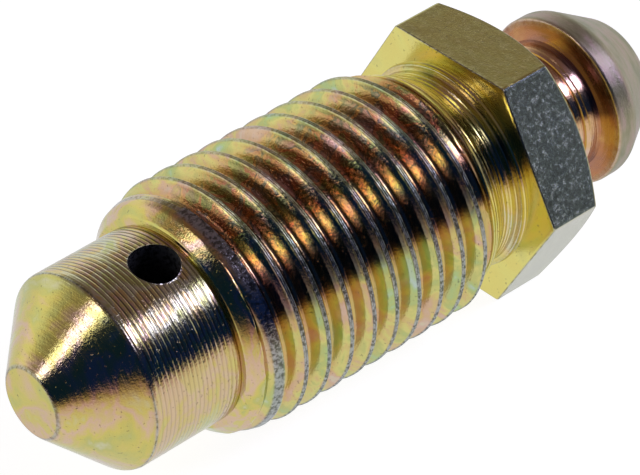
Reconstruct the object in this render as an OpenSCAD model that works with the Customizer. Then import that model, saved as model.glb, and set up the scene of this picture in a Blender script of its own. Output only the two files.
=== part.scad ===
// Hose-nipple bleeder screw: one turned piece with a conical seat, a cross-drilled nose,
// a rolled helical thread, a hexagon and a hose nipple. All sizes are in millimetres.
// Inside the modules the axis is local Z and local X is the side that lies uppermost.
// The last step turns local Z to +X and local X to +Z, with the tip face's centre at the origin.

/* [Nose] */
// diameter of the flat at the tip
tip_d = 2.68; // [1.5:0.02:3.6]
// included angle of the conical seat
seat_angle = 90; // [70:1:110]
// diameter of the plain nose
nose_d = 7.4; // [6.8:0.05:7.8]
// distance from the tip face to the end of the nose
nose_len = 6.1; // [5.6:0.05:6.3]
// width of the broken edge round the tip flat
tip_break = 0.08; // [0.02:0.01:0.15]

/* [Thread] */
// diameter over the thread crests
thread_d = 9.45; // [9.3:0.01:9.55]
// pitch of the right-hand thread
pitch = 1.0583; // [1:0.0001:1.1]
// depth of the thread from crest to root
thread_depth = 0.6; // [0.45:0.01:0.64]
// included angle of the thread flanks
thread_angle = 60; // [50:1:62]
// width of the flat on each crest
crest_w = 0.2; // [0.12:0.01:0.26]
// height of the rounding in each root
root_round = 0.1; // [0.04:0.01:0.16]
// distance from the tip face to the middle of the first crest, on the uppermost side
first_crest_at = 6.828; // [6.6:0.001:7.1]
// angle of the lead-in cone to the axis
lead_angle = 45; // [40:1:55]
// height of the shoulder where that cone starts, above the nose surface
lead_step = 0.24; // [0.14:0.01:0.3]
// diameter where that cone gives way to the first, half-filled crest
blank_d = 8.76; // [8.6:0.02:8.9]
// rise of the first crest per millimetre
first_rise = 0.28; // [0.2:0.01:0.4]
// length over which the first groove deepens from nothing to its full depth
groove_start = 0.55; // [0.4:0.01:0.7]
// distance from the tip face to where the crests begin to run out
crest_end = 16.65; // [16.4:0.05:16.7]
// angle of the run-out cone to the axis
runout_angle = 34; // [33:1:42]
// rise of the thread root per millimetre as it fades into the run-out
root_fade = 0.08; // [0.03:0.01:0.12]

/* [Neck] */
// distance from the tip face to the start of the turned land behind the thread
land_at = 17.45; // [17.4:0.05:17.6]
// diameter of that land
land_d = 8.5; // [8.45:0.05:8.7]
// diameter of the neck under the hexagon
neck_d = 7.52; // [7:0.05:7.7]
// distance from the tip face to the start of the neck
neck_at = 18.5; // [18.2:0.05:18.7]
// diameter of the collar against the hexagon
collar_d = 7.94; // [7.8:0.05:8.6]
// length of that collar
collar_len = 0.2; // [0.1:0.01:0.3]

/* [Hexagon] */
// width across flats
hex_af = 9.35; // [9.3:0.01:9.53]
// distance from the tip face to the near face of the hexagon
hex_at = 19.31; // [19.2:0.01:19.8]
// thickness of the hexagon
hex_len = 2.66; // [2.2:0.02:3]
// diameter of the flat far face, where the corner bevel starts
bevel_d = 8.86; // [8:0.02:9.1]
// angle of the corner bevel to the far face
bevel_angle = 30; // [20:1:35]

/* [Nipple] */
// distance from the tip face to the end of the nipple
total_len = 27.8; // [27.2:0.05:28.1]
// diameter of the stem behind the hexagon
stem_d = 4.8; // [4.2:0.05:5]
// height of the turned rings on the stem
stem_ring = 0.1; // [0.04:0.01:0.14]
// length of each turned ring
stem_ring_len = 0.3; // [0.2:0.01:0.36]
// length of the nipple's head, from the barb's shoulder edge to its end
head_len = 2.96; // [2.8:0.02:3.2]
// length of the hollow flare up to that edge
flare_len = 0.36; // [0.2:0.01:0.5]
// diameter over the barb
barb_d = 6.6; // [6.4:0.02:6.8]
// diameter of the barb's shoulder edge
barb_edge_d = 6.5; // [6.1:0.02:6.6]
// length of the plain band on the barb
barb_len = 0.78; // [0.5:0.02:0.9]
// angle of the nipple's cone to the axis
point_angle = 31; // [26:1:36]
// radius of the rounding at the nipple's end
end_round = 1; // [0.6:0.05:1.2]

/* [Holes] */
// diameter of the bore through the nipple
bore_d = 2; // [1.6:0.05:2.3]
// diameter of the cross hole in the nose
cross_d = 1.8; // [1.4:0.05:2]
// distance from the tip face to the middle of the cross hole
cross_at = 5.01; // [4.8:0.01:5.1]
// angle of the cross hole from the uppermost side
cross_turn = 10.5; // [0:0.5:30]
// how far the bore reaches past the cross hole's middle
bore_past = 0.6; // [0.2:0.05:0.8]
// included angle of the drill point at the bore's end
drill_angle = 118; // [110:1:130]
// depth of the countersink at the bore's mouth
mouth_break = 0.15; // [0.05:0.01:0.25]

/* [Hidden] */
eps = 0.01;
crest_r = thread_d / 2;
root_r = crest_r - thread_depth;
seat_len = (nose_d - tip_d) / 2 / tan(seat_angle / 2);
lead_r = nose_d / 2 + lead_step;
blank_at = nose_len + (blank_d / 2 - lead_r) / tan(lead_angle);
hex_far = hex_at + hex_len;
hex_corner_r = hex_af / 2 / cos(30);
barb_at = total_len - head_len;
ring_first_at = barb_at - flare_len - 3.4 * stem_ring_len;
stem_step = stem_d / 2 + stem_ring;
cone_from = barb_at + barb_len;
cone_to = total_len - end_round * (1 - sin(point_angle));
cone_r = barb_d / 2 - (cone_to - cone_from) * tan(point_angle);
shoulder_break = 0.08;

// thread surface: columns run up the helix and rows follow its crest, flanks and root
turn_cols = 41;
turns = 13;
cols = turn_cols * turns;
// the thread starts with a flat shoulder at the nose and ends inside the land
start_gap = 0.03;
buried_end = land_at + 0.35;
flank_x = (thread_depth - root_round) * tan(thread_angle / 2);
foot_x = crest_w / 2 + flank_x;
foot_gap = pitch / 2 - foot_x;
row_x = [-pitch / 2, -foot_x - 0.45 * foot_gap, -foot_x, -crest_w / 2,
    crest_w / 2, foot_x, foot_x + 0.45 * foot_gap];
row_r = [root_r, root_r + 0.2 * root_round, root_r + root_round, crest_r,
    crest_r, root_r + root_round, root_r + 0.2 * root_round];
rows = len(row_x);
helix_start = first_crest_at - 2 * pitch;

function col_z(c, q) = helix_start + pitch * c / turn_cols + row_x[q];
function lead_in(z) = min(lead_r + (z - nose_len) * tan(lead_angle), blank_d / 2 + (z - blank_at) * first_rise);
function run_out(z) = crest_r - (z - crest_end) * tan(runout_angle);
function envelope(z) = min(crest_r, lead_in(z), run_out(z));
function root_floor(z) = root_r + max(0, z - crest_end + 0.6) * root_fade
    + max(0, blank_at + groove_start - z) / groove_start * (blank_d / 2 - root_r);
function surface_r(z, r) = min(envelope(z), max(r, root_floor(z)));
function around(r, c, z) = [r * cos(360 * c / turn_cols), r * sin(360 * c / turn_cols), z];
// a grid point beyond either end becomes that end ring's own point
function grid_id(c, q) = q == rows ? grid_id(c + turn_cols, 0)
    : col_z(c, q) <= nose_len + start_gap ? c % turn_cols
    : col_z(c, q) >= buried_end ? turn_cols + c % turn_cols
    : 2 * turn_cols + c * rows + q;
function tri(a, b, c) = a == b || b == c || a == c ? [] : [[a, b, c]];

module helix_body() {
  points = concat(
    [for (c = [0 : turn_cols - 1]) around(lead_r, c, nose_len)],
    [for (c = [0 : turn_cols - 1]) around(envelope(buried_end), c, buried_end)],
    [for (c = [0 : cols + turn_cols], q = [0 : rows - 1])
        around(surface_r(col_z(c, q), row_r[q]), c, col_z(c, q))]);
  skin = [for (c = [0 : cols - 1], q = [0 : rows - 1])
      let (a = grid_id(c, q), b = grid_id(c + 1, q), d = grid_id(c, q + 1), e = grid_id(c + 1, q + 1))
      for (t = concat(tri(a, e, b), tri(a, d, e))) t];
  start_cap = [[for (c = [0 : turn_cols - 1]) c]];
  end_cap = [[for (c = [turn_cols - 1 : -1 : 0]) turn_cols + c]];
  polyhedron(points = points, faces = concat(skin, start_cap, end_cap), convexity = 12);
}

module nose() {
  edge_r = tip_d / 2 - tip_break;
  rotate_extrude($fn = 96)
    polygon([[0, 0], [edge_r, 0], [tip_d / 2 + tip_break / 2, tip_break * 0.9],
        [nose_d / 2, seat_len], [nose_d / 2, nose_len + 0.3], [0, nose_len + 0.3]]);
}

module neck() {
  fall = land_d / 2 - neck_d / 2;
  span = neck_at - land_at;
  rotate_extrude($fn = 96)
    polygon([[0, land_at], [land_d / 2, land_at], [land_d / 2 - 0.1 * fall, land_at + 0.18 * span],
        [land_d / 2 - 0.55 * fall, land_at + 0.6 * span], [neck_d / 2, neck_at],
        [neck_d / 2, hex_at - collar_len], [collar_d / 2, hex_at - collar_len],
        [collar_d / 2, hex_at + 0.2], [0, hex_at + 0.2]]);
}

module hexagon() {
  bevel_h = (hex_corner_r + 0.5 - bevel_d / 2) * tan(bevel_angle);
  intersection() {
    translate([0, 0, hex_at])
      rotate([0, 0, 30])
        cylinder(r = hex_corner_r, h = hex_len, $fn = 6);
    rotate_extrude($fn = 96)
      polygon([[0, hex_at - 1], [hex_corner_r + 0.5, hex_at - 1], [hex_corner_r + 0.5, hex_far - bevel_h],
          [bevel_d / 2, hex_far], [0, hex_far]]);
  }
}

module nipple() {
  rise = barb_edge_d / 2 - stem_step;
  end_arc = [for (i = [0 : 5]) let (a = point_angle + (90 - point_angle) * i / 5)
      [cone_r - end_round * (cos(point_angle) - cos(a)), cone_to + end_round * (sin(a) - sin(point_angle))]];
  rotate_extrude($fn = 96)
    polygon(concat(
      [[0, neck_at], [stem_d / 2, neck_at], [stem_d / 2, ring_first_at],
          [stem_step, ring_first_at + 0.2 * stem_ring_len], [stem_step, ring_first_at + stem_ring_len],
          [stem_d / 2, ring_first_at + 1.2 * stem_ring_len], [stem_d / 2, ring_first_at + 1.5 * stem_ring_len],
          [stem_step, ring_first_at + 1.7 * stem_ring_len], [stem_step, barb_at - flare_len],
          [stem_step + 0.2 * rise, barb_at - 0.5 * flare_len], [stem_step + 0.5 * rise, barb_at - 0.2 * flare_len],
          [barb_edge_d / 2, barb_at], [barb_d / 2, barb_at + shoulder_break],
          [barb_d / 2, cone_from - shoulder_break],
          [barb_d / 2 - shoulder_break * tan(point_angle), cone_from + shoulder_break]],
      end_arc, [[0, total_len]]));
}

module bore() {
  bore_end = cross_at - bore_past;
  point_h = bore_d / 2 / tan(drill_angle / 2);
  rotate_extrude($fn = 64)
    polygon([[0, bore_end - point_h], [bore_d / 2, bore_end], [bore_d / 2, total_len - mouth_break],
        [bore_d / 2 + mouth_break, total_len], [bore_d / 2 + mouth_break, total_len + eps], [0, total_len + eps]]);
}

module cross_hole() {
  translate([0, 0, cross_at])
    rotate([0, 0, cross_turn])
      rotate([0, 90, 0])
        cylinder(d = cross_d, h = nose_d, $fn = 64);
}

module bleeder_screw() {
  color([0.74, 0.64, 0.36])
    rotate([0, 90, 0])
      rotate([0, 0, 180])
        difference() {
          union() {
            helix_body();
            nose();
            neck();
            hexagon();
            nipple();
          }
          bore();
          cross_hole();
        }
}

bleeder_screw();
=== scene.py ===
import math

import bmesh
import bpy
import numpy as np
from mathutils import Matrix, Vector


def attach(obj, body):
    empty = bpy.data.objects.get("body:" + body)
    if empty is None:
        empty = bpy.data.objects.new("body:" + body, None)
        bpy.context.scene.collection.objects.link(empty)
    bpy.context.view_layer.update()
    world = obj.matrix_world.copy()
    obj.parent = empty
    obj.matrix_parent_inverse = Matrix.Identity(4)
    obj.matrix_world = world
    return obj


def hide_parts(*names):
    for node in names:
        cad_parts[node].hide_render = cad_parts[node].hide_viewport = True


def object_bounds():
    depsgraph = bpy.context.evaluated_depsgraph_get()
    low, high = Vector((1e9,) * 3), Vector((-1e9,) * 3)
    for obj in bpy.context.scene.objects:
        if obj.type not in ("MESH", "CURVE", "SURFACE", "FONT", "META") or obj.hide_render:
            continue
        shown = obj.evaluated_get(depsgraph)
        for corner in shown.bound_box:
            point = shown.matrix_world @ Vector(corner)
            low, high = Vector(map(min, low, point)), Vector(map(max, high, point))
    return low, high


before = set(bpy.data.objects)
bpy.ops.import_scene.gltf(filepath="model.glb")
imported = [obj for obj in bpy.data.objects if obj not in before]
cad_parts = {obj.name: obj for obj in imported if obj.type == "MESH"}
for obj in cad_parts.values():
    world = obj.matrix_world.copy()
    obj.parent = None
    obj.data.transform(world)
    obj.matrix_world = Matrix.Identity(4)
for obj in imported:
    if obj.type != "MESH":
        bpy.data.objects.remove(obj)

cad_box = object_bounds()
MM = 0.001
NODE = "bleeder_screw"

# The part lies along +X, with the middle of its tip face at the origin. A station is a distance
# from the tip face, and an angle goes round from +Z towards -Y. Sizes here are in millimetres.

# ---------------------------------------------------------------- sizes, as in part.scad
NOSE_R, NOSE_LEN = 3.7, 6.1
CREST_R, PITCH, DEPTH = 4.725, 1.0583, 0.6
ROOT_R = CREST_R - DEPTH
CREST_W, FLANK_TAN, ROOT_ROUND = 0.20, math.tan(math.radians(30)), 0.1
FIRST_CREST, CREST_END = 6.828, 16.65
LEAD_R, BLANK_R, FIRST_RISE = NOSE_R + 0.24, 4.38, 0.28
BLANK_AT, GROOVE_START = NOSE_LEN + BLANK_R - LEAD_R, 0.55
RUN_TAN, FADE_LEN, FADE = math.tan(math.radians(34)), 0.6, 0.08
LAND_AT, LAND_R = 17.45, 4.25
NECK_AT, NECK_R, COLLAR_R = 18.5, 3.76, 3.97
HEX_AF, HEX_AT, HEX_LEN, BEVEL_R, BEVEL_TAN = 9.35, 19.31, 2.66, 4.43, math.tan(math.radians(30))
HEX_FAR = HEX_AT + HEX_LEN
TOTAL, STEM_R, RING_H, RING_LEN = 27.8, 2.4, 0.1, 0.3
BARB_AT, FLARE, BARB_R, EDGE_R = 24.84, 0.36, 3.3, 3.25
BAND, POINT, ROUND = 0.78, math.radians(31), 1.0
BORE_R = 1.0
HOLE_R, HOLE_AT, HOLE_TURN = 0.9, 5.01, math.radians(10.5)

# ---------------------------------------------------------------- fineness of the meshes
NOSE_COLS, NECK_COLS, NIPPLE_COLS = 256, 192, 176
TURN_COLS, TURNS = 150, 13
SIDE_COLS = 44
HOLE_COLS = 96

# ---------------------------------------------------------------- fine forms
RIDGE, RIDGE_H, RIDGES_AT, RIDGES_END, RIDGE_STEP = 0.182, 0.0115, 2.475, 6.0601, 0.0165
RIDGE_LIFT = np.array([0.75, 1.15, 0.9, 1.3, 0.8, 1.2, 1.0, 0.7, 1.25, 0.95, 1.1,
                       0.85, 1.3, 1.0, 0.8, 1.15, 0.9, 1.2, 0.75, 1.05, 1.0, 1.0])
CREST_HALF, SEAM_HALF, SEAM_DEEP = 0.068, 0.018, 0.022
CORNER_R = 5.372
HEX_INNER_R = 4.5
BARE_BY_FLAT = np.array([0.35, 1.0, 0.9, 0.8, 0.6, 0.7])
PALE_FLAT = 0.9


def smooth(a, b, x):
    """0 at a, 1 at b, with a soft start and end; a may be above b."""
    t = np.clip((x - a) / (b - a), 0.0, 1.0)
    return t * t * (3 - 2 * t)


def window(start, full, wane, end, x):
    return smooth(start, full, x) * smooth(end, wane, x)


def peak(x, at, width):
    return np.exp(-((x - at) / width) ** 2)


def waves(phi, s, seed, low, high, s_freq, count=10):
    """A seamless, repeatable unevenness over the angle and the station, about -1 to 1."""
    r = np.random.RandomState(seed)
    out = np.zeros(np.broadcast(phi, s).shape)
    for _ in range(count):
        k = r.randint(low, high + 1)
        out = out + np.sin(k * phi + r.uniform(0, 6.28) + r.uniform(-s_freq, s_freq) * s) * r.uniform(0.5, 1)
    return out / (0.5 * count)


def around(cols):
    return np.arange(cols) * 2 * math.pi / cols


def from_top(angle):
    """The angle from the uppermost side, -pi to pi."""
    return (angle + math.pi) % (2 * math.pi) - math.pi


def spread(points, gap):
    """Rows along a broken line of (station, radius), no further apart than gap."""
    out = [points[0]]
    for a, b in zip(points, points[1:]):
        n = max(1, int(math.ceil(math.dist(a, b) / gap)))
        out += [(a[0] + (b[0] - a[0]) * k / n, a[1] + (b[1] - a[1]) * k / n) for k in range(1, n + 1)]
    return np.array(out)


# ---------------------------------------------------------------- meshes
def add_piece(name, verts, faces, masks, sharp=35):
    mesh = bpy.data.meshes.new(name)
    mesh.from_pydata((np.asarray(verts) * MM).tolist(), [], faces)
    for key, values in masks.items():
        mesh.attributes.new(key, "FLOAT", "POINT").data.foreach_set("value", np.asarray(values, np.float32))
    mesh.validate()
    mesh.polygons.foreach_set("use_smooth", np.ones(len(mesh.polygons), bool))
    mesh.update()
    obj = bpy.data.objects.new(name, mesh)
    bpy.context.scene.collection.objects.link(obj)
    mesh.set_sharp_from_angle(angle=math.radians(sharp))
    return obj


def turned(name, s, r, phi, masks, closed=True, sharp=35):
    """A revolved skin: s and r are rows by columns. closed joins the last row to the first,
    otherwise both ends close on the axis."""
    rows, cols = s.shape
    a = np.broadcast_to(phi, (rows, cols))
    verts = np.stack([s, -r * np.sin(a), r * np.cos(a)], -1).reshape(-1, 3).tolist()
    ids = np.arange(rows * cols).reshape(rows, cols)
    nxt = np.roll(ids, -1, 1)
    faces = []
    for i in range(rows if closed else rows - 1):
        k = (i + 1) % rows
        faces += np.stack([ids[i], nxt[i], nxt[k], ids[k]], -1).tolist()
    values = {key: list(np.broadcast_to(v, (rows, cols)).reshape(-1)) for key, v in masks.items()}
    if not closed:
        for i, flip in ((0, True), (rows - 1, False)):
            verts.append([float(s[i].mean()), 0.0, 0.0])
            for key in values:
                values[key].append(values[key][i * cols])
            c = len(verts) - 1
            for j in range(cols):
                t = (c, int(nxt[i, j]), int(ids[i, j]))
                faces.append(list(t) if flip else [t[0], t[2], t[1]])
    return add_piece(name, verts, faces, values, sharp)


def turned_path(name, path, lift, phi, masks, closed=True):
    """A revolved skin from a path of (station, radius), with lift added to the radius."""
    s = np.repeat(path[:, :1], len(phi), 1)
    r = np.repeat(path[:, 1:], len(phi), 1)
    return turned(name, s, r + lift, phi, masks, closed)


def build_nose():
    """Tip flat, seat cone, ridged cylinder and the blind end of the bore."""
    tip = [(0.0, 0.02), (0.0, 0.4), (0.0, 0.8), (0.0, 1.16), (0.012, 1.22), (0.0, 1.27), (0.012, 1.325),
           (0.05, 1.375), (0.11, 1.45)]
    cone = [tip[-1], (2.26, 3.60), (2.31, 3.645), (2.37, 3.675), (2.46, 3.69)]
    ridged = np.arange(RIDGES_AT, RIDGES_END, RIDGE_STEP)
    end = [(6.07, 3.69), (6.08, 3.66), (6.09, 3.64), (6.12, 3.64), (6.25, 3.63), (6.25, 3.4), (6.25, 2.0),
           (6.25, BORE_R)]
    bore = [end[-1], (4.41, BORE_R), (3.81, 0.02)]
    path = np.vstack([spread(tip, 0.12), spread(cone, 0.07)[1:],
                      np.stack([ridged, np.full(len(ridged), NOSE_R)], -1), end, spread(bore, 0.25)[1:]])
    z, rad = path.T
    phi = around(NOSE_COLS)
    top, across = from_top(phi), phi[None, :]
    s = np.repeat(path[:, :1], NOSE_COLS, 1)

    # ridges along a helix, each with its own height, flatter on the side away from the light
    on_ridge = (rad == NOSE_R) & (z > 2.47)
    turn_no = (z - RIDGES_AT) / RIDGE
    height = RIDGE_H * RIDGE_LIFT[np.clip(turn_no.astype(int), 0, len(RIDGE_LIFT) - 1)]
    fade = smooth(2.475, 2.6, z) * (1 - smooth(5.95, 6.06, z))
    u = turn_no[:, None] + across / (2 * math.pi)
    scallop = 0.5 - 0.5 * np.cos(2 * math.pi * u) + 0.12 * np.sin(4 * math.pi * u)
    by_side = 0.45 + 0.55 * smooth(1.05, 0.8, top)
    uneven = 1 + 0.22 * waves(across, s, 3, 2, 9, 2.0)
    lift = (on_ridge * height * fade)[:, None] * by_side[None, :] * (scallop - 0.5) * uneven
    lift = lift + on_ridge[:, None] * 0.0016 * waves(across, s * 9, 5, 20, 70, 9.0, 14)
    on_cone = (z > 0.12) & (z < 2.3)
    lift = lift + on_cone[:, None] * (0.0022 * waves(across, s, 8, 1, 7, 30.0, 16))

    # painted shade: the grooves between the ridges are darkened, more on the upper side than below
    groove_shade = (on_ridge * fade)[:, None] * smooth(0.42, 0.12, scallop)
    groove_shade = groove_shade * (0.25 + 0.75 * smooth(1.2, 0.85, top))[None, :]
    edges = 0.75 * (rad < 1.44) * (rad > 1.29) * (z < 0.2) + peak(z, 2.37, 0.045) * (rad > 3)
    plain = np.maximum(smooth(2.5, 2.3, z)[:, None], 0.7 * smooth(1.0, 1.3, top)[None, :])
    masks = {"worn": edges[:, None], "groove_shade": groove_shade, "plain": plain}
    return turned_path("nose", path, lift, phi, masks, closed=False)


def cut_cross_hole(nose):
    """Cut the cross hole, brighten its rim, and return 1 for each face inside the hole or the bore."""
    out_dir = Vector((0.0, -math.sin(HOLE_TURN), math.cos(HOLE_TURN)))
    cutter_mesh = bpy.data.meshes.new("cutter")
    bm = bmesh.new()
    bmesh.ops.create_cone(bm, cap_ends=True, segments=HOLE_COLS, radius1=HOLE_R * MM, radius2=HOLE_R * MM,
                          depth=5.0 * MM)
    bm.to_mesh(cutter_mesh)
    bm.free()
    turn = out_dir.to_track_quat("Z", "Y").to_matrix().to_4x4()
    cutter_mesh.transform(Matrix.Translation(Vector((HOLE_AT, 0, 0)) * MM + out_dir * 2.7 * MM) @ turn)
    cutter = bpy.data.objects.new("cutter", cutter_mesh)
    bpy.context.scene.collection.objects.link(cutter)
    mod = nose.modifiers.new("cut", "BOOLEAN")
    mod.operation, mod.object, mod.solver = "DIFFERENCE", cutter, "EXACT"
    bpy.context.view_layer.update()
    cut = bpy.data.meshes.new_from_object(nose.evaluated_get(bpy.context.evaluated_depsgraph_get()))
    nose.modifiers.clear()
    nose.data = cut
    bpy.data.objects.remove(cutter)
    cut.set_sharp_from_angle(angle=math.radians(40))

    def measures(point):
        """Distances from the screw's axis and the hole's axis, and whether the hole's side is meant."""
        c = point / MM
        from_hole = math.hypot(c.x - HOLE_AT, c.y * out_dir.z - c.z * out_dir.y)
        return math.hypot(c.y, c.z), from_hole, c.dot(out_dir) > 0

    inside = []
    for poly in cut.polygons:
        from_axis, from_hole, on_side = measures(poly.center)
        in_bore = from_axis < BORE_R + 0.02 and poly.center.x / MM > 3.7
        in_hole = from_hole < HOLE_R + 0.004 and from_axis < 3.66 and on_side
        inside.append(1 if in_bore or in_hole else 0)
    for vert, value in zip(cut.vertices, cut.attributes["worn"].data):
        from_axis, from_hole, on_side = measures(vert.co)
        if on_side and abs(from_hole - HOLE_R) < 0.025 and from_axis > 3.6:
            value.value = 1.0
    return inside


def envelope(z):
    """The blank that the thread is cut from: lead-in cone, first rise, crests and run-out cone."""
    lead_in = np.minimum(LEAD_R + z - NOSE_LEN, BLANK_R + (z - BLANK_AT) * FIRST_RISE)
    return np.minimum(np.minimum(CREST_R, lead_in), CREST_R - (z - CREST_END) * RUN_TAN)


def thread_profile():
    """One pitch as (offset along the axis, radius), from root to root, with a seam along the crest."""
    foot = CREST_W / 2 + (DEPTH - ROOT_ROUND) * FLANK_TAN
    gap = PITCH / 2 - foot
    half = CREST_HALF
    root = [(-PITCH / 2, ROOT_R), (-PITCH / 2 + gap * 0.35, ROOT_R + 0.006), (-foot - gap * 0.32, ROOT_R + 0.035)]
    flank = [(-foot, ROOT_R + 0.092), (-foot + 0.05, ROOT_R + 0.18), (-foot + 0.13, ROOT_R + 0.322),
             (-foot + 0.21, CREST_R - 0.14)]
    edge = [(half + 0.035, CREST_R - 0.072), (half + 0.012, CREST_R - 0.03), (half - 0.01, CREST_R - 0.006),
            (half - 0.03, CREST_R), (SEAM_HALF, CREST_R - 0.006)]
    rising = root + flank + [(-a, b) for a, b in edge]
    return rising + [(0.0, CREST_R - SEAM_DEEP)] + edge[::-1] + [(-a, b) for a, b in (root + flank)[:0:-1]]


def build_thread():
    """The threaded length: rows follow the helix, as in part.scad, only finer."""
    profile = thread_profile()
    row_x = np.array([a for a, b in profile])
    row_r = np.array([b for a, b in profile])
    row_crest = np.where(np.abs(row_x) < CREST_HALF + 0.015, 1.0, 0.0)
    per_row, n = len(profile), TURN_COLS
    start, end = NOSE_LEN + 0.04, LAND_AT + 0.25
    quads_long = n * TURNS
    step = np.arange(quads_long + n + 1)
    z = FIRST_CREST - 2 * PITCH + PITCH * step[:, None] / n + row_x[None, :]
    ang = 2 * math.pi * (step[:, None] % n) / n

    # radius: the profile with ragged crests, over a root that fades at both ends, inside the envelope
    jag = waves(ang, z, 21, 30, 120, 12.0, 18)
    slow = waves(ang, z, 22, 3, 17, 1.3, 8)
    crest_like = row_crest[None, :] * np.ones_like(z)
    seam = peak(row_x, 0.0, 0.015)[None, :]
    r = row_r[None, :] + crest_like * (0.006 * jag + 0.007 * slow) - seam * 0.018 * np.clip(0.5 + jag, 0, 1)
    r = r + (1 - crest_like) * 0.0012 * waves(ang, z * 4, 23, 1, 5, 40.0, 12)
    root = ROOT_R + np.maximum(0, z - CREST_END + FADE_LEN) * FADE
    root = root + np.maximum(0, BLANK_AT + GROOVE_START - z) / GROOVE_START * (BLANK_R - ROOT_R)
    r = np.maximum(r, root)
    blank = envelope(z)
    clipped = smooth(-0.02, 0.03, r - blank)
    r = np.minimum(blank, r)
    points = np.stack([np.clip(z, start, end), -r * np.sin(ang), r * np.cos(ang)], -1)
    points[..., 2] = np.maximum(points[..., 2], cad_box[0][2] / MM)

    # plain rings that close both ends and the bore, in the order of these names
    front, back, front_bore, back_bore, lead, lead_edge = range(6)
    ring_sizes = ((start, float(envelope(start))), (end, float(envelope(end))), (NOSE_LEN, BORE_R), (end, BORE_R),
                  (NOSE_LEN + 0.012, LEAD_R), (NOSE_LEN, LEAD_R - 0.03))
    ring_a = around(n)
    rings = [np.stack([np.full(n, at), -size * np.sin(ring_a), size * np.cos(ring_a)], -1)
             for at, size in ring_sizes]
    ring_verts = len(rings) * n
    verts = np.vstack(rings + [points.reshape(-1, 3)])

    # faces along the helix; what lies past an end moves onto that end's ring and drops out
    column = (step % n)[:, None]
    ids = ring_verts + np.arange(len(step) * per_row).reshape(len(step), per_row)
    ids = np.where(z <= start, front * n + column, np.where(z >= end, back * n + column, ids))
    ids = np.hstack([ids, np.vstack([ids[n:, :1], np.zeros((n, 1), int)])])
    here, further = ids[:quads_long], ids[1:quads_long + 1]
    quads = np.stack([here[:, :-1], further[:, :-1], further[:, 1:], here[:, 1:]], -1).reshape(-1, 4)
    faces = []
    for quad in quads.tolist():
        face = [v for k, v in enumerate(quad) if v != quad[k - 1]]
        if len(set(face)) >= 3:
            faces.append(face)
    joined = ((lead, front), (lead_edge, lead), (front_bore, lead_edge), (back, back_bore), (back_bore, front_bore))
    for j in range(n):
        k = (j + 1) % n
        faces += [[a * n + j, a * n + k, b * n + k, b * n + j] for a, b in joined]
    used = np.unique(np.concatenate([np.array(f) for f in faces]))
    remap = -np.ones(len(verts), int)
    remap[used] = np.arange(len(used))
    faces = [[int(remap[v]) for v in f] for f in faces]

    def mask(values, on_rings=0.0):
        return np.concatenate([np.full(ring_verts, on_rings), values.reshape(-1)])[used]

    # bare metal on the crests, and on the blank just ahead of the first one
    crest = crest_like * smooth(4.3, 4.42, r) * (0.55 + 0.45 * smooth(0.5, 0.9, ang) * smooth(5.6, 5.0, ang))
    ahead = FIRST_CREST + PITCH * ang / (2 * math.pi) - z
    band = 0.2 + 0.26 * smooth(0.5, 1.5, ang) * smooth(5.9, 5.2, ang)
    first = clipped * smooth(6.6, 6.68, z) * smooth(7.9, 7.8, z) * smooth(band + 0.05, band - 0.05, ahead)
    # painted reflection: blotchy smoky, red-brown and orange tones on the upper side; painted shade: a dark band below
    # it
    top = from_top(ang)
    painted_top_reflection = smooth(-0.5, 0.05, top) * (0.35 * smooth(1.1, 0.8, top) + 0.65 * smooth(0.72, 0.45, top))
    painted_top_reflection = painted_top_reflection * smooth(4.68, 4.6, r) * (0.45 + 0.55 * smooth(6.9, 7.4, z))
    painted_shade = window(0.68, 0.82, 1.12, 1.24, top + 0.03 * slow) * smooth(6.7, 7.0, z) * smooth(4.7, 4.62, r)
    # the fleck mask is painted shade: dark specks over the lit part of the upper side
    masks = {"worn": mask(np.maximum(crest, first)), "deep": mask(smooth(4.5, 4.2, r) * (z > 6.9)),
             "plain": mask(smooth(7.0, 6.6, z), 1.0), "painted_top_reflection": mask(painted_top_reflection),
             "painted_fleck": mask(painted_top_reflection * smooth(0.1, 0.45, top)), "shade": mask(painted_shade)}
    return add_piece("thread", verts[used], faces, masks, sharp=50)


def build_neck():
    """Run-out land, neck with its turning marks, and collar."""
    fall, span = LAND_R - NECK_R, NECK_AT - LAND_AT
    land = [(LAND_AT, BORE_R), (LAND_AT, 4.1), (LAND_AT, 4.19), (LAND_AT + 0.02, 4.235), (LAND_AT + 0.07, 4.25),
            (LAND_AT + 0.19, 4.2), (LAND_AT + 0.6 * span, LAND_R - 0.55 * fall)]
    neck = [(NECK_AT - 0.1, NECK_R + 0.03), (NECK_AT, NECK_R), (18.78, NECK_R), (18.82, NECK_R - 0.035),
            (18.86, NECK_R), (19.06, NECK_R + 0.01), (19.09, NECK_R + 0.03)]
    collar = [(19.11, 3.86), (19.115, 3.93), (19.135, 3.965), (19.17, COLLAR_R), (19.25, COLLAR_R - 0.005),
              (19.3, COLLAR_R + 0.02), (19.36, COLLAR_R + 0.06), (19.5, COLLAR_R), (19.5, BORE_R)]
    path = spread(land + neck + collar, 0.035)
    z, rad = path.T
    phi = around(NECK_COLS)
    band = smooth(17.5, 17.6, z) * (1 - smooth(18.75, 18.85, z)) * (rad > 3)
    marks = 0.012 * np.sin(z * 2 * math.pi / 0.21) * band + 0.006 * np.sin(z * 2 * math.pi / 0.083 + 1) * band
    # painted shade: a dark band along the neck, about 40 to 70 degrees round from the top
    painted_shade = window(17.45, 17.6, 19.15, 19.3, z)[:, None] * window(0.7, 0.85, 1.05, 1.2, from_top(phi))[None, :]
    masks = {"shade": 0.8 * painted_shade, "worn": 0.5 * peak(z, 19.14, 0.03)[:, None]}
    return turned_path("neck", path, marks[:, None], phi, masks)


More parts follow.
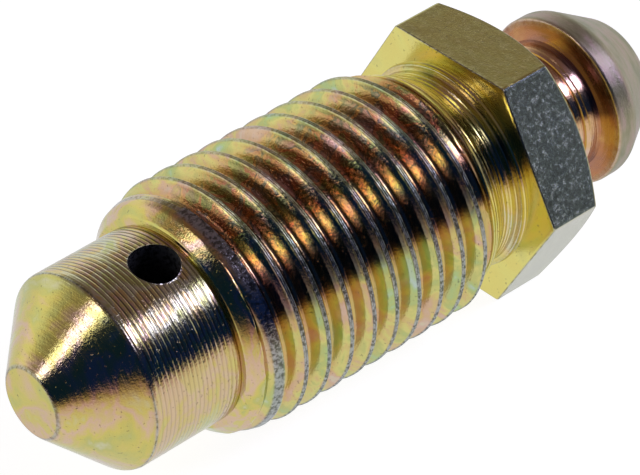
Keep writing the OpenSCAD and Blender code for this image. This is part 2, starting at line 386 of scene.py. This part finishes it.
def build_hexagon():
    """Hexagon with a bevel towards the nipple and slightly softened edges."""
    sixth = math.radians(60)
    t = np.linspace(-1, 1, SIDE_COLS, endpoint=False)
    t = np.sign(t) * (1 - (1 - np.abs(t)) ** 1.7)
    phi = np.concatenate([math.radians(60 * k) + t * sixth / 2 for k in range(6)])
    off = (phi + sixth / 2) % sixth - sixth / 2
    hex_r = np.minimum(HEX_AF / 2 / np.cos(off), CORNER_R)
    bevel_s = HEX_FAR - (hex_r - BEVEL_R) * BEVEL_TAN
    rows = []

    def add_row(s_row, r_row, worn=0.0):
        rows.append([np.broadcast_to(v, phi.shape) for v in (s_row, r_row, worn)])

    for r0 in (BORE_R, 2.2, 3.4, 3.9, 4.1, 4.3, HEX_INNER_R):
        add_row(HEX_AT, r0)
    for k in (0.75, 0.5, 0.25):
        add_row(HEX_AT, hex_r - 0.06 - (hex_r - 0.06 - HEX_INNER_R) * k * 0.99)
    add_row(HEX_AT, hex_r - 0.06)
    for ahead, below, worn in ((0.006, 0.035, 0.5), (0.018, 0.014, 1.0), (0.04, 0.002, 0.7)):
        add_row(HEX_AT + ahead, hex_r - below, worn)
    for k in np.linspace(0.0, 1.0, 24):
        add_row(HEX_AT + 0.08 + (bevel_s - 0.05 - HEX_AT - 0.08) * k, hex_r, 0.15 if k in (0.0, 1.0) else 0.0)
    add_row(bevel_s - 0.01, hex_r - 0.006, 0.7)
    add_row(bevel_s + 0.02, hex_r - 0.028, 0.6)
    for k in np.linspace(0.1, 1.0, 8):
        bevel_r = hex_r - 0.05 - (hex_r - 0.05 - BEVEL_R) * k
        add_row(HEX_FAR - (bevel_r - BEVEL_R) * BEVEL_TAN - 0.002, bevel_r)
    for r0 in (4.36, 4.2, 3.8, 3.0, 2.2, BORE_R):
        add_row(HEX_FAR, r0)
    for k in (0.75, 0.5, 0.25):
        add_row(HEX_AT + HEX_LEN * k, BORE_R)
    s, r, worn = (np.array(values) for values in zip(*rows))

    side = np.abs(r - hex_r[None, :]) < 1e-6
    r = r + np.where(side, 0.004 * waves(phi[None, :], s * 3, 31, 6, 60, 3.0, 14) - 0.004, 0)
    bare = BARE_BY_FLAT[((phi + sixth / 2) // sixth).astype(int) % 6]
    masks = {"worn": worn, "flat": side * bare[None, :], "pale": side * (bare == PALE_FLAT)[None, :]}
    return turned("hexagon", s, r, phi, masks, sharp=28)


def build_nipple():
    """Stem with its turned rings, barb, rounded end and bore."""
    ring_at = BARB_AT - FLARE - 3.4 * RING_LEN
    step = STEM_R + RING_H
    rise = EDGE_R - step
    cone_from = BARB_AT + BAND
    cone_to = TOTAL - ROUND * (1 - math.sin(POINT))
    cone_r = BARB_R - (cone_to - cone_from) * math.tan(POINT)
    stem = [(HEX_FAR - 0.1, BORE_R), (HEX_FAR - 0.1, STEM_R), (ring_at, STEM_R)]
    rings = ((0.03, STEM_R + 0.02), (0.07, step), (0.25, step + 0.01), (0.30, step - 0.03), (0.34, STEM_R - 0.01),
             (0.40, STEM_R), (0.46, step), (0.6, step + 0.02), (0.64, step - 0.03), (0.68, step + 0.01))
    stem += [(ring_at + a, b) for a, b in rings]
    flare = [(BARB_AT - FLARE - 0.02, step + 0.02)]
    flare += [(BARB_AT - a * FLARE, step + b * rise) for a, b in ((0.66, 0.09), (0.42, 0.26), (0.2, 0.5), (0.06, 0.8))]
    band = [(BARB_AT - 0.015, EDGE_R - 0.05), (BARB_AT + 0.005, EDGE_R), (BARB_AT + 0.06, BARB_R - 0.01),
            (BARB_AT + 0.11, BARB_R)]
    shoulder = [(cone_from - 0.16 + 0.32 * k, BARB_R - 0.5 * 0.32 * k * k * math.tan(POINT))
                for k in np.linspace(0, 1, 7)]
    dome = [(cone_to + ROUND * (math.sin(q) - math.sin(POINT)), cone_r - ROUND * (math.cos(POINT) - math.cos(q)))
            for q in np.linspace(POINT, math.radians(88), 16)]
    tail = [(TOTAL, dome[-1][1] - 0.06), (TOTAL, 1.2), (TOTAL - 0.15, BORE_R)]
    path = np.vstack([spread(stem + flare + band + shoulder + dome + tail, 0.07),
                      spread([tail[-1], stem[0]], 0.8)[1:-1]])
    z, rad = path.T
    phi = around(NIPPLE_COLS)
    before_barb = (z < 24.835) * (rad > 2)
    # painted shade: the flare is darkened from the top round to about 75 degrees
    flare_shade_sector = window(-0.15, 0.35, 1.2, 1.35, from_top(phi))
    masks = {"worn": (0.5 * peak(z, BARB_AT, 0.03) * (rad > 3))[:, None],
             "flare": (smooth(24.4, 24.5, z) * before_barb)[:, None],
             "shade": (smooth(24.3, 24.45, z) * before_barb)[:, None] * flare_shade_sector[None, :],
             "barb": smooth(24.83, 24.92, z)[:, None]}
    return turned_path("nipple", path, 0.0, phi, masks)


nose = build_nose()
inside_nose = cut_cross_hole(nose)
thread = build_thread()
neck = build_neck()
hexagon = build_hexagon()
nipple = build_nipple()


# ---------------------------------------------------------------- materials
class Nodes:
    """Short calls for building one node tree."""

    def __init__(self, tree):
        self.tree = tree
        tree.nodes.clear()

    def add(self, kind, **values):
        node = self.tree.nodes.new(kind)
        for key, value in values.items():
            setattr(node, key, value)
        return node

    def link(self, a, b):
        self.tree.links.new(a, b)

    def put(self, socket, value):
        if isinstance(value, bpy.types.NodeSocket):
            self.link(value, socket)
        else:
            socket.default_value = value

    def math(self, op, a, b):
        node = self.add("ShaderNodeMath", operation=op)
        self.put(node.inputs[0], a)
        self.put(node.inputs[1], b)
        return node.outputs[0]

    def plus(self, a, b):
        return self.math("ADD", a, b)

    def times(self, a, b):
        return self.math("MULTIPLY", a, b)

    def mask(self, name):
        return self.add("ShaderNodeAttribute", attribute_name=name).outputs["Fac"]

    def noise(self, vector, scale, detail, rough, distortion=0.0):
        """scale is one number, or three that stretch the pattern along the axes."""
        if isinstance(scale, tuple):
            mapping = self.add("ShaderNodeMapping")
            self.link(vector, mapping.inputs["Vector"])
            mapping.inputs["Scale"].default_value = scale
            vector, scale = mapping.outputs[0], 1.0
        node = self.add("ShaderNodeTexNoise")
        self.link(vector, node.inputs["Vector"])
        for key, value in (("Scale", scale), ("Detail", detail), ("Roughness", rough), ("Distortion", distortion)):
            node.inputs[key].default_value = value
        return node.outputs["Fac"]

    def ramp(self, fac, stops):
        node = self.add("ShaderNodeValToRGB")
        self.link(fac, node.inputs[0])
        items = node.color_ramp.elements
        while len(items) < len(stops):
            items.new(0.5)
        for item, (place, colour) in zip(items, stops):
            item.position = place
            item.color = (*colour, 1.0)
        return node.outputs[0]

    def mix(self, fac, a, b, blend="MIX"):
        node = self.add("ShaderNodeMix", data_type="RGBA", blend_type=blend)
        self.put(node.inputs[0], fac)
        self.put(node.inputs[6], a)
        self.put(node.inputs[7], b)
        return node.outputs[2]

    def range(self, value, a, b, c=0.0, d=1.0, kind="SMOOTHSTEP"):
        node = self.add("ShaderNodeMapRange", interpolation_type=kind)
        self.put(node.inputs[0], value)
        for k, v in enumerate((a, b, c, d)):
            node.inputs[k + 1].default_value = v
        return node.outputs[0]

    def unit(self, vector):
        node = self.add("ShaderNodeVectorMath", operation="NORMALIZE")
        self.link(vector, node.inputs[0])
        return node.outputs[0]

    def dot(self, vector, direction):
        node = self.add("ShaderNodeVectorMath", operation="DOT_PRODUCT")
        self.link(vector, node.inputs[0])
        node.inputs[1].default_value = direction
        return node.outputs["Value"]

    def shader(self, kind, colour, strength=None):
        node = self.add(kind)
        self.put(node.inputs["Color"], colour)
        if strength is not None:
            node.inputs["Strength"].default_value = strength
        return node.outputs[0]

    def mix_shader(self, fac, a, b):
        node = self.add("ShaderNodeMixShader")
        self.put(node.inputs[0], fac)
        self.link(a, node.inputs[1])
        self.link(b, node.inputs[2])
        return node.outputs[0]


# hues of the plate
GOLD, LEMON, PINK, RED_GOLD = (0.68, 0.54, 0.21), (0.68, 0.64, 0.22), (0.68, 0.48, 0.40), (0.66, 0.44, 0.30)
OLIVE, PALE, BLUE, GREEN = (0.50, 0.54, 0.19), (0.66, 0.66, 0.47), (0.48, 0.62, 0.60), (0.42, 0.58, 0.26)
# single tones; the tones for ridge grooves, dark bands and dark specks are painted shade
STREAK_TONE, PIT_TONE, GROOVE_SHADE_TONE = (0.52, 0.42, 0.18, 1), (0.10, 0.08, 0.05, 1), (0.10, 0.075, 0.04, 1)
PAINTED_SHADE_TONE, FLARE_PAINTED_SHADE_TONE = (0.06, 0.08, 0.13, 1), (0.07, 0.03, 0.035, 1)
DEEP_TONE, PAINTED_FLECK_TONE, PALE_STEEL = (0.58, 0.31, 0.12, 1), (0.05, 0.07, 0.04, 1), (0.74, 0.72, 0.66, 1)
# ramps; the smoky hues are painted reflection and the bore hues painted shade
TURNED_HUES = [(0.28, PALE), (0.37, OLIVE), (0.43, PALE), (0.48, GOLD), (0.52, PINK), (0.57, LEMON), (0.61, PINK),
               (0.66, PALE), (0.74, BLUE)]
THREAD_HUES = [(0.28, BLUE), (0.36, GREEN), (0.43, OLIVE), (0.49, LEMON), (0.54, GOLD), (0.59, RED_GOLD),
               (0.65, PINK), (0.72, PALE)]
NECK_HUES = [(0.3, OLIVE), (0.42, LEMON), (0.5, (0.80, 0.66, 0.20)), (0.58, (0.80, 0.62, 0.34)), (0.68, PALE)]
HEX_HUES = [(0.3, (0.74, 0.70, 0.24)), (0.45, (0.80, 0.70, 0.20)), (0.55, (0.80, 0.74, 0.22)), (0.7, LEMON)]
NIPPLE_HUES = [(0.3, (0.72, 0.48, 0.20)), (0.46, (0.72, 0.44, 0.24)), (0.58, (0.74, 0.50, 0.42)), (0.72, GOLD)]
BORE_SHADE_HUES = [(0.3, (0.003, 0.006, 0.014)), (0.7, (0.006, 0.009, 0.018))]
PLAIN_HUES = [(0.30, PALE), (0.39, (0.54, 0.54, 0.17)), (0.46, (0.67, 0.58, 0.15)), (0.50, (0.70, 0.54, 0.24)),
              (0.55, (0.72, 0.50, 0.38)), (0.61, (0.68, 0.58, 0.16)), (0.72, PALE)]
PAINTED_TOP_REFLECTION_HUES = [(0.34, (0.12, 0.13, 0.07)), (0.42, (0.26, 0.27, 0.10)), (0.48, (0.50, 0.15, 0.09)),
              (0.53, (0.62, 0.28, 0.10)), (0.57, (0.10, 0.09, 0.11)), (0.64, (0.50, 0.26, 0.22))]
SCORCHED_HUES = [(0.35, (0.62, 0.34, 0.12)), (0.5, (0.44, 0.17, 0.07)), (0.62, (0.30, 0.12, 0.08))]
DULL_HUES = [(0.35, (0.27, 0.28, 0.18)), (0.5, (0.36, 0.34, 0.24)), (0.65, (0.44, 0.35, 0.30))]
BARE_STEEL = [(0.36, (0.03, 0.05, 0.07)), (0.46, (0.075, 0.11, 0.12)), (0.54, (0.11, 0.15, 0.16)),
              (0.61, (0.34, 0.38, 0.38))]
WORN_STEEL = [(0.0, (0.04, 0.045, 0.05)), (0.42, (0.09, 0.10, 0.10)), (0.52, (0.34, 0.36, 0.36)),
              (1.0, (0.62, 0.62, 0.62))]
PITS = [(0.0, (1, 1, 1)), (0.27, (1, 1, 1)), (0.33, (0, 0, 0)), (1.0, (0, 0, 0))]

FINE_SCALE, LINE_SCALE, STREAK_SCALE = (2600, 700, 700), (13000, 800, 800), (5200, 420, 420)
PLATE_TINT, BORE_SHADE_TINT = (0.86, 0.90, 0.94, 1.0), (0.05, 0.06, 0.08, 1.0)
BUMP_HEIGHT = 0.0000035


def zinc(name, hues, streak=1.0, rough=(0.16, 0.3), speck=0.5, grit=0.8, worn_dark=0.8, patches=(640, 420, 420),
         tint=PLATE_TINT, plain=False, flat=False, groove_shades=False, barb=False, deep=False):
    """Yellow zinc plate: hue patches, fine turning lines, pits and bare edges, all in object space.
    plain, flat, valleys, barb and deep each bring in the looks of one region by its mask."""
    material = bpy.data.materials.new(name)
    material.use_nodes = True
    g = Nodes(material.node_tree)
    coord = g.add("ShaderNodeTexCoord").outputs["Object"]
    patch = g.noise(coord, patches, 3.0, 0.55, distortion=0.7)
    fine = g.noise(coord, FINE_SCALE, 3.0, 0.6)
    both = g.plus(g.times(patch, 0.8), g.times(fine, 0.2))
    colour = g.ramp(both, hues)
    if plain:
        colour = g.mix(g.mask("plain"), colour, g.ramp(both, PLAIN_HUES))
    lines = g.noise(coord, LINE_SCALE, 3.0, 0.65)
    streaks = g.noise(coord, STREAK_SCALE, 2.0, 0.5)
    grain = g.noise(coord, 11000.0, 3.0, 0.65)
    pits = g.ramp(g.noise(coord, 8200.0, 2.0, 0.5), PITS)
    colour = g.mix(g.times(streaks, 0.35), colour, STREAK_TONE)
    colour = g.mix(g.times(pits, speck), colour, PIT_TONE)
    roughness = g.range(lines, 0.3, 0.7, rough[0], rough[1], "LINEAR")
    height = g.plus(g.times(lines, 1.5 * streak), g.times(streaks, 1.0 * streak))
    height = g.plus(height, g.times(grain, grit))
    height = g.math("SUBTRACT", height, g.times(pits, 0.8))
    if flat:
        mask = g.mask("flat")
        bare = g.ramp(g.noise(coord, 5200.0, 5.0, 0.75), BARE_STEEL)
        bare = g.mix(g.times(g.mask("pale"), 0.85), bare, PALE_STEEL)
        colour = g.mix(g.times(mask, 0.92), colour, bare)
        crystals = g.noise(coord, 9500.0, 4.0, 0.85)
        height = g.plus(height, g.times(g.times(crystals, 7.0), mask))
        roughness = g.plus(roughness, g.times(mask, 0.10))
    if groove_shades:
        # painted shade in the grooves between the nose's ridges
        colour = g.mix(g.times(g.mask("groove_shade"), g.range(patch, 0.35, 0.6, 0.45, 0.9)), colour, GROOVE_SHADE_TONE)
    shade = g.mask("shade")
    if barb:
        mask, flare = g.mask("barb"), g.mask("flare")
        colour = g.mix(g.times(flare, 0.85), colour, g.ramp(patch, SCORCHED_HUES))
        roughness = g.plus(roughness, g.times(flare, 0.10))
        # painted shade on the flare, by the shade mask
        colour = g.mix(g.times(shade, g.range(patch, 0.3, 0.65, 0.95, 0.7)), colour, FLARE_PAINTED_SHADE_TONE)
        height = g.plus(height, g.times(g.times(g.noise(coord, 7000.0, 4.0, 0.8), 5.0), mask))
        colour = g.mix(g.times(mask, 0.9), colour, g.ramp(fine, DULL_HUES))
        roughness = g.plus(roughness, g.times(mask, 0.24))
    else:
        # painted shade: a dark band, by the shade mask
        colour = g.mix(g.times(shade, g.range(patch, 0.3, 0.65, 0.8, 0.6)), colour, PAINTED_SHADE_TONE)
    if deep:
        colour = g.mix(g.times(g.mask("deep"), 0.5), colour, DEEP_TONE)
        # painted reflection: smoky blots on the thread's upper side
        mask = g.mask("painted_top_reflection")
        blots = g.noise(coord, (1100, 800, 800), 3.0, 0.6, distortion=0.8)
        colour = g.mix(g.times(mask, 0.75), colour, g.ramp(blots, PAINTED_TOP_REFLECTION_HUES))
        # painted shade: dark flecks over the lit part of that side
        painted_flecks = g.range(g.noise(coord, 9000.0, 2.0, 0.6), 0.50, 0.58, 0.0, 0.75)
        colour = g.mix(g.times(painted_flecks, g.mask("painted_fleck")), colour, PAINTED_FLECK_TONE)
        height = g.plus(height, g.times(grain, g.times(mask, 3.5)))
    worn = g.mask("worn")
    scale_noise = g.noise(coord, 6500.0, 3.0, 0.7)
    colour = g.mix(g.times(worn, worn_dark), colour, g.ramp(scale_noise, WORN_STEEL))
    height = g.plus(height, g.times(g.times(scale_noise, 5.0), worn))
    roughness = g.plus(roughness, g.times(worn, 0.08))
    bump = g.add("ShaderNodeBump")
    bump.inputs["Strength"].default_value = 1.0
    bump.inputs["Distance"].default_value = BUMP_HEIGHT
    g.link(height, bump.inputs["Height"])
    bsdf = g.add("ShaderNodeBsdfPrincipled")
    bsdf.inputs["Metallic"].default_value = 1.0
    bsdf.inputs["Specular Tint"].default_value = tint
    for key, value in (("Normal", bump.outputs[0]), ("Base Color", colour), ("Roughness", roughness)):
        g.link(value, bsdf.inputs[key])
    g.link(bsdf.outputs[0], g.add("ShaderNodeOutputMaterial").inputs[0])
    return material


nose_mat = zinc("zinc_nose", TURNED_HUES, streak=1.5, rough=(0.07, 0.15), speck=0.6, grit=1.7, groove_shades=True,
                plain=True)
thread_mat = zinc("zinc_thread", THREAD_HUES, rough=(0.07, 0.14), grit=1.2, worn_dark=0.9, patches=(900, 620, 620),
                  deep=True, plain=True)
neck_mat = zinc("zinc_neck", NECK_HUES, streak=1.6, rough=(0.06, 0.12), grit=1.6)
hex_mat = zinc("zinc_hexagon", HEX_HUES, streak=0.2, rough=(0.10, 0.16), flat=True)
nipple_mat = zinc("zinc_nipple", NIPPLE_HUES, streak=1.4, rough=(0.13, 0.20), barb=True)
# painted shade: the walls inside the cross hole and the bore are near-black
bore_shade_mat = zinc("painted_bore_shade", BORE_SHADE_HUES, rough=(0.4, 0.5), speck=0.0, tint=BORE_SHADE_TINT)
dressed = ((nose, nose_mat), (thread, thread_mat), (neck, neck_mat), (hexagon, hex_mat), (nipple, nipple_mat))
for obj, material in dressed:
    obj.data.materials.clear()
    obj.data.materials.append(material)
    if obj == nose:
        obj.data.materials.append(bore_shade_mat)
        obj.data.polygons.foreach_set("material_index", inside_nose)
    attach(obj, "root")
    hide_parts(NODE)

# ---------------------------------------------------------------- floor
FLOOR_HALF = 3.0
bm = bmesh.new()
bmesh.ops.create_grid(bm, x_segments=2, y_segments=2, size=FLOOR_HALF)
floor_mesh = bpy.data.meshes.new("floor")
bm.to_mesh(floor_mesh)
bm.free()
floor = bpy.data.objects.new("floor", floor_mesh)
floor.location = (0, 0, cad_box[0][2])
bpy.context.scene.collection.objects.link(floor)


def build_paper():
    """Pale paper. Metal sees it bright round the part, and dimmer and warmer towards the dark side of the room."""
    material = bpy.data.materials.new("paper")
    material.use_nodes = True
    g = Nodes(material.node_tree)
    coord = g.add("ShaderNodeTexCoord").outputs["Object"]
    rays = g.add("ShaderNodeLightPath").outputs
    diffuse = g.shader("ShaderNodeBsdfDiffuse", (0.9, 0.9, 0.9, 1))
    white = g.shader("ShaderNodeEmission", (1, 1, 1, 1), 0.92)
    nearness = g.range(g.dot(coord, (0.678, 0.735, 0.0)), -0.075, -0.004, 0.0, 1.0, "LINEAR")
    seen = g.shader("ShaderNodeEmission", g.ramp(nearness, [(0.0, (0.22, 0.13, 0.13)), (0.45, (0.50, 0.33, 0.32)),
                                                            (0.75, (0.78, 0.66, 0.62)), (1.0, (0.95, 0.95, 0.95))]))
    for_camera = g.add("ShaderNodeAddShader")
    g.link(g.shader("ShaderNodeBsdfDiffuse", (0.3, 0.3, 0.3, 1)), for_camera.inputs[0])
    g.link(white, for_camera.inputs[1])
    for_gloss = g.mix_shader(0.9, diffuse, seen)
    is_gloss = g.math("MAXIMUM", rays["Is Glossy Ray"], rays["Is Transmission Ray"])
    surface = g.mix_shader(rays["Is Camera Ray"], g.mix_shader(is_gloss, diffuse, for_gloss), for_camera.outputs[0])
    g.link(surface, g.add("ShaderNodeOutputMaterial").inputs[0])
    return material


floor_mesh.materials.append(build_paper())

# ---------------------------------------------------------------- studio: a bright side, a dark side and two lights
DARK_SIDE = -114
BRIGHT_WALL = [(0.0, (1.0, 1.0, 1.0)), (0.24, (1.0, 0.99, 0.96)), (0.34, (0.78, 0.74, 0.68)),
               (0.47, (0.38, 0.34, 0.30)), (0.62, (0.24, 0.20, 0.20)), (0.75, (0.18, 0.12, 0.13)),
               (1.0, (0.15, 0.11, 0.12))]
DIM_WALL = [(0.0, (0.015, 0.03, 0.08)), (0.10, (0.005, 0.017, 0.07)), (0.52, (0.005, 0.017, 0.07)),
            (0.66, (0.055, 0.055, 0.09)), (0.85, (0.12, 0.095, 0.125)), (1.0, (0.13, 0.10, 0.125))]
# colour, direction and height in degrees, inner and outer radius in degrees, strength
LAMPS = (((1.0, 0.96, 1.55), -43, 46, 5.5, 12.0, 8.5), ((1.0, 0.96, 1.2), 163, 37, 4, 9.5, 3.6))


def towards(az, el):
    a, e = math.radians(az), math.radians(el)
    return (math.cos(a) * math.cos(e), math.sin(a) * math.cos(e), math.sin(e))


def light_room(world):
    """A room that gets dimmer with height, dark on one side, with soft round lamps; the camera sees it white."""
    world.use_nodes = True
    g = Nodes(world.node_tree)
    ray = g.unit(g.add("ShaderNodeTexCoord").outputs["Generated"])
    parts = g.add("ShaderNodeSeparateXYZ")
    g.link(ray, parts.inputs[0])
    level = g.add("ShaderNodeCombineXYZ")
    g.link(parts.outputs["X"], level.inputs[0])
    g.link(parts.outputs["Y"], level.inputs[1])
    dark_side = g.range(g.dot(g.unit(level.outputs[0]), towards(DARK_SIDE, 0)), 0.02, 0.22)
    height = parts.outputs["Z"]
    room = g.mix(dark_side, g.ramp(height, BRIGHT_WALL), g.ramp(height, DIM_WALL))
    for colour, az, el, inner, outer, strength in LAMPS:
        facing = g.dot(ray, towards(az, el))
        lobe = g.range(facing, math.cos(math.radians(outer)), math.cos(math.radians(inner)), 0.0, strength)
        glow = g.mix(lobe, (0, 0, 0, 1), (*colour, 1))
        glow.node.clamp_factor = False
        room = g.mix(1.0, room, glow, "ADD")
    is_camera = g.add("ShaderNodeLightPath").outputs["Is Camera Ray"]
    surface = g.mix_shader(is_camera, g.shader("ShaderNodeBackground", room, 1.0),
                           g.shader("ShaderNodeBackground", (1, 1, 1, 1)))
    g.link(surface, g.add("ShaderNodeOutputWorld").inputs[0])


world = bpy.context.scene.world or bpy.data.worlds.new("studio")
bpy.context.scene.world = world
light_room(world)

# ---------------------------------------------------------------- camera, as fitted to the photo
LENS, SENSOR = 228.877, 36.0
RIGHT, UP = Vector((0.73160356, -0.68170402, -0.00598888)), Vector((0.42141738, 0.44532415, 0.78999607))
EYE, NUDGE_RIGHT, NUDGE_UP = Vector((-63.06313, -82.50353, 87.09437)), 0.02, 0.03
camera_data = bpy.data.cameras.new("camera")
camera_data.sensor_width = SENSOR
camera_data.lens = LENS
camera_data.clip_start, camera_data.clip_end = 0.01, 20.0
camera = bpy.data.objects.new("camera", camera_data)
bpy.context.scene.collection.objects.link(camera)
place = Matrix((RIGHT, UP, RIGHT.cross(UP))).transposed().to_4x4()
place.translation = (EYE + RIGHT * NUDGE_RIGHT + UP * NUDGE_UP) * MM
camera.matrix_world = place
bpy.context.scene.camera = camera

bpy.context.scene.view_settings.view_transform = "Standard"

bpy.context.view_layer.update()
